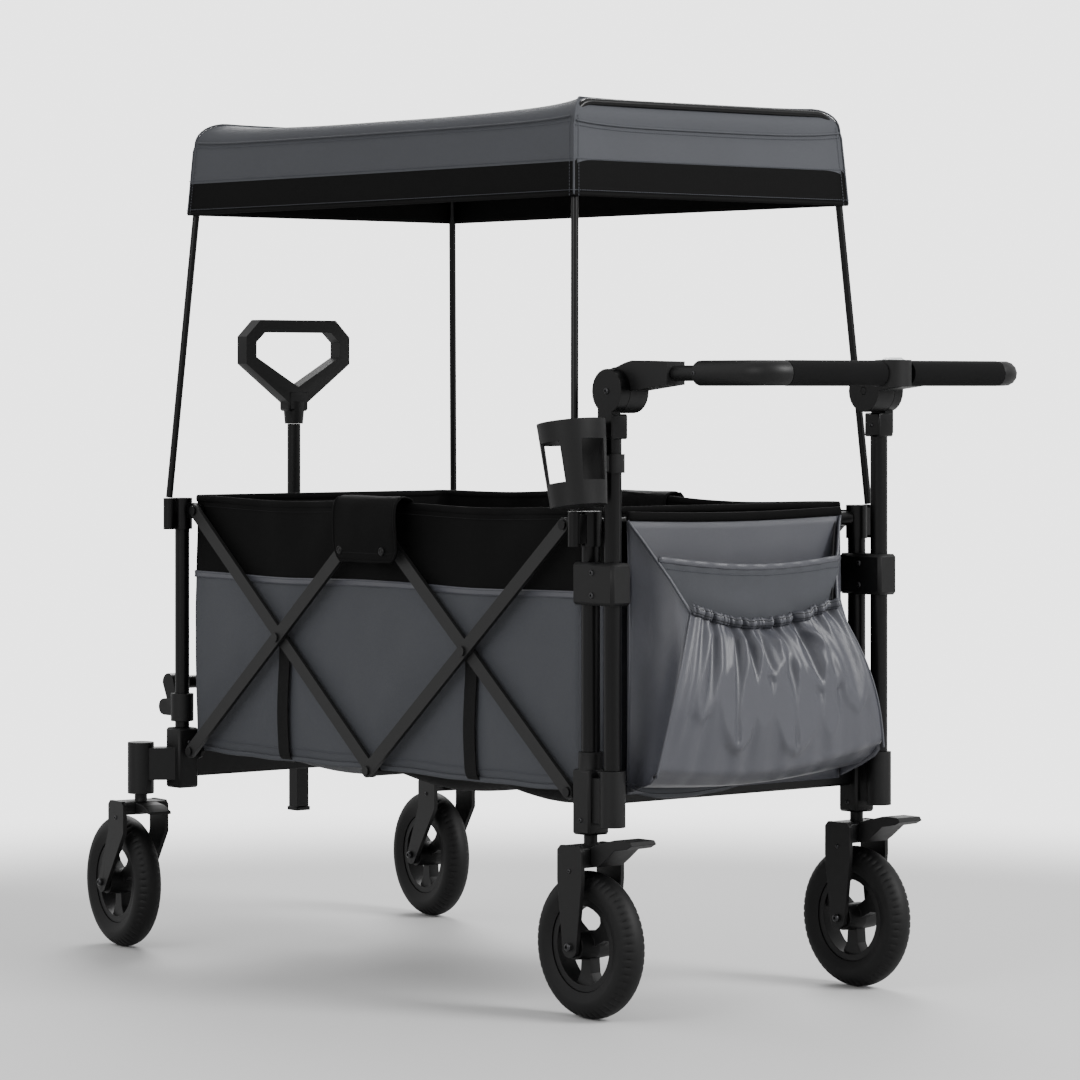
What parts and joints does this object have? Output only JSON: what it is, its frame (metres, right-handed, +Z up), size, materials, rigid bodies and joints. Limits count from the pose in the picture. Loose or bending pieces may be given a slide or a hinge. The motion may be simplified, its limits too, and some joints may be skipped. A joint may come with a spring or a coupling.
{
  "type": "folding pull wagon",
  "caption": "Scissor-folding children's pull wagon: open fabric tub, canopy on bent rods, rear push handle, front telescoping pull handle, swivelling front casters and braked rear wheels.",
  "frame": {"origin": "on the ground, under the middle of the wagon's overall length, on its left-right mid-plane", "axes": "+X forward towards the pull handle, +Y to the wagon's left, +Z up"},
  "size_m": [1.4192, 0.682, 1.19],
  "materials": {
    "frame_steel": "black powder coat",
    "bar_steel": "satin charcoal powder coat",
    "moulded_plastic": "fine-grained black nylon",
    "tyre_rubber": "matt black rubber",
    "foam": "closed-cell black foam",
    "button_plastic": "light grey button",
    "grey_fabric": "slate woven polyester with black trim"
  },
  "bodies": {
    "rear_frame": {"rear_casting_left": "moulded_plastic", "rear_casting_right": "moulded_plastic", "rear_bottom_rail": "frame_steel", "handle_tube_left": "frame_steel", "handle_tube_right": "frame_steel", "rear_clamp_left": "moulded_plastic", "rear_clamp_right": "moulded_plastic", "cup_holder": "moulded_plastic", "rear_fork_left": "moulded_plastic", "rear_fork_right": "moulded_plastic"},
    "scissor_a": {"scissor_bar_a_left": "bar_steel", "scissor_bar_a_right": "bar_steel"},
    "scissor_b": {"scissor_bar_b_left": "bar_steel", "scissor_bar_b_right": "bar_steel"},
    "scissor_c": {"scissor_bar_c_left": "bar_steel", "scissor_bar_c_right": "bar_steel"},
    "scissor_d": {"scissor_bar_d_left": "bar_steel", "scissor_bar_d_right": "bar_steel", "centre_cross_tube": "frame_steel"},
    "rear_upper": {"rear_post_left": "frame_steel", "rear_post_right": "frame_steel", "rear_top_rail": "frame_steel", "fabric_tub": "grey_fabric", "rear_pocket": "grey_fabric", "canopy_rod_rear": "frame_steel", "canopy_cloth": "grey_fabric"},
    "front_lower": {"front_casting_left": "moulded_plastic", "front_casting_right": "moulded_plastic", "front_bottom_rail": "frame_steel", "yoke_bracket_left": "moulded_plastic", "yoke_bracket_right": "moulded_plastic"},
    "front_upper": {"front_post_left": "frame_steel", "front_post_right": "frame_steel", "front_top_rail": "frame_steel", "canopy_rod_front": "frame_steel"},
    "push_handle": {"hinge_housing_left": "moulded_plastic", "hinge_housing_right": "moulded_plastic", "push_arm_left": "moulded_plastic", "push_arm_right": "moulded_plastic", "push_crossbar": "moulded_plastic", "foam_grip_left": "foam", "foam_grip_right": "foam"},
    "button": {"release_button": "button_plastic"},
    "pull_yoke": {"pull_yoke": "frame_steel"},
    "pull_pole": {"pull_pole": "frame_steel", "pull_grip": "moulded_plastic"},
    "rear_wheel_left": {"rear_tyre_left": "tyre_rubber", "rear_rim_left": "moulded_plastic"},
    "brake_pedal_left": {"brake_pedal_left": "moulded_plastic"},
    "front_caster_left": {"front_fork_left": "moulded_plastic"},
    "front_wheel_left": {"front_tyre_left": "tyre_rubber", "front_rim_left": "moulded_plastic"},
    "swivel_lever_left": {"swivel_lever_left": "moulded_plastic"},
    "rear_wheel_right": {"rear_tyre_right": "tyre_rubber", "rear_rim_right": "moulded_plastic"},
    "brake_pedal_right": {"brake_pedal_right": "moulded_plastic"},
    "front_caster_right": {"front_fork_right": "moulded_plastic"},
    "front_wheel_right": {"front_tyre_right": "tyre_rubber", "front_rim_right": "moulded_plastic"},
    "swivel_lever_right": {"swivel_lever_right": "moulded_plastic"}
  },
  "joints": [
    {"name": "fold", "type": "hinge", "parent": "rear_frame", "child": "scissor_a", "pos_m": [-0.33802, 0, 0.289], "axis": [0, -1, 0], "range_deg": [0, 38], "deforming": ["fabric_tub", "canopy_cloth"]},
    {"name": "fold_rear_cross", "type": "hinge", "parent": "scissor_a", "child": "scissor_b", "pos_m": [-0.13152, 0, 0.4615], "axis": [0, -1, 0], "range_deg": [-76, 0]},
    {"name": "fold_rear_top", "type": "hinge", "parent": "scissor_b", "child": "rear_upper", "pos_m": [-0.33802, 0, 0.634], "axis": [0, -1, 0], "range_deg": [0, 38]},
    {"name": "fold_mid_top", "type": "hinge", "parent": "scissor_a", "child": "scissor_c", "pos_m": [0.07498, 0, 0.634], "axis": [0, -1, 0], "range_deg": [-76, 0]},
    {"name": "fold_front_cross", "type": "hinge", "parent": "scissor_c", "child": "scissor_d", "pos_m": [0.28148, 0, 0.4615], "axis": [0, -1, 0], "range_deg": [0, 76]},
    {"name": "fold_front_bottom", "type": "hinge", "parent": "scissor_c", "child": "front_lower", "pos_m": [0.48798, 0, 0.289], "axis": [0, -1, 0], "range_deg": [0, 38]},
    {"name": "fold_front_top", "type": "hinge", "parent": "scissor_d", "child": "front_upper", "pos_m": [0.48798, 0, 0.634], "axis": [0, -1, 0], "range_deg": [-38, 0]},
    {"name": "rear_wheel_spin_left", "type": "hinge", "parent": "rear_frame", "child": "rear_wheel_left", "pos_m": [-0.37602, 0.238, 0.095], "axis": [0, 1, 0], "continuous": true},
    {"name": "brake_pedal_left", "type": "hinge", "parent": "rear_frame", "child": "brake_pedal_left", "pos_m": [-0.40032, 0.238, 0.199], "axis": [0, -1, 0], "range_deg": [0, 22]},
    {"name": "front_swivel_left", "type": "hinge", "parent": "front_lower", "child": "front_caster_left", "pos_m": [0.56098, 0.286, 0.216], "axis": [0, 0, 1], "continuous": true},
    {"name": "front_wheel_spin_left", "type": "hinge", "parent": "front_caster_left", "child": "front_wheel_left", "pos_m": [0.61545, 0.27835, 0.095], "axis": [0.1392, 0.9903, 0], "continuous": true},
    {"name": "swivel_lever_left", "type": "hinge", "parent": "front_caster_left", "child": "swivel_lever_left", "pos_m": [0.54509, 0.28823, 0.199], "axis": [-0.1392, -0.9903, 0], "range_deg": [0, 12]},
    {"name": "rear_wheel_spin_right", "type": "hinge", "parent": "rear_frame", "child": "rear_wheel_right", "pos_m": [-0.37602, -0.238, 0.095], "axis": [0, 1, 0], "continuous": true},
    {"name": "brake_pedal_right", "type": "hinge", "parent": "rear_frame", "child": "brake_pedal_right", "pos_m": [-0.40032, -0.238, 0.199], "axis": [0, -1, 0], "range_deg": [0, 22]},
    {"name": "front_swivel_right", "type": "hinge", "parent": "front_lower", "child": "front_caster_right", "pos_m": [0.56098, -0.286, 0.216], "axis": [0, 0, 1], "continuous": true},
    {"name": "front_wheel_spin_right", "type": "hinge", "parent": "front_caster_right", "child": "front_wheel_right", "pos_m": [0.61545, -0.29365, 0.095], "axis": [0.1392, 0.9903, 0], "continuous": true},
    {"name": "swivel_lever_right", "type": "hinge", "parent": "front_caster_right", "child": "swivel_lever_right", "pos_m": [0.54509, -0.28377, 0.199], "axis": [-0.1392, -0.9903, 0], "range_deg": [0, 12]},
    {"name": "push_handle_tilt", "type": "hinge", "parent": "rear_frame", "child": "push_handle", "pos_m": [-0.42302, 0, 0.8065], "axis": [0, 1, 0], "range_deg": [-60, 75]},
    {"name": "handle_release", "type": "slide", "parent": "push_handle", "child": "button", "axis": [0, 0, -1], "range_m": [0, 0.0035], "stiffness_N_per_m": 400, "springref_m": -0.002},
    {"name": "pull_handle_tilt", "type": "hinge", "parent": "front_lower", "child": "pull_yoke", "pos_m": [0.56198, 0, 0.349], "axis": [0, 1, 0], "range_deg": [0, 100]},
    {"name": "pull_handle_extend", "type": "slide", "parent": "pull_yoke", "child": "pull_pole", "axis": [0, 0, 1], "range_m": [0, 0.2]}
  ],
  "couplings": [
    {"joint": "fold_rear_cross", "follows": "fold", "ratio": -2},
    {"joint": "fold_rear_top", "follows": "fold", "ratio": 1},
    {"joint": "fold_mid_top", "follows": "fold", "ratio": -2},
    {"joint": "fold_front_cross", "follows": "fold", "ratio": 2},
    {"joint": "fold_front_bottom", "follows": "fold", "ratio": 1},
    {"joint": "fold_front_top", "follows": "fold", "ratio": -1}
  ]
}
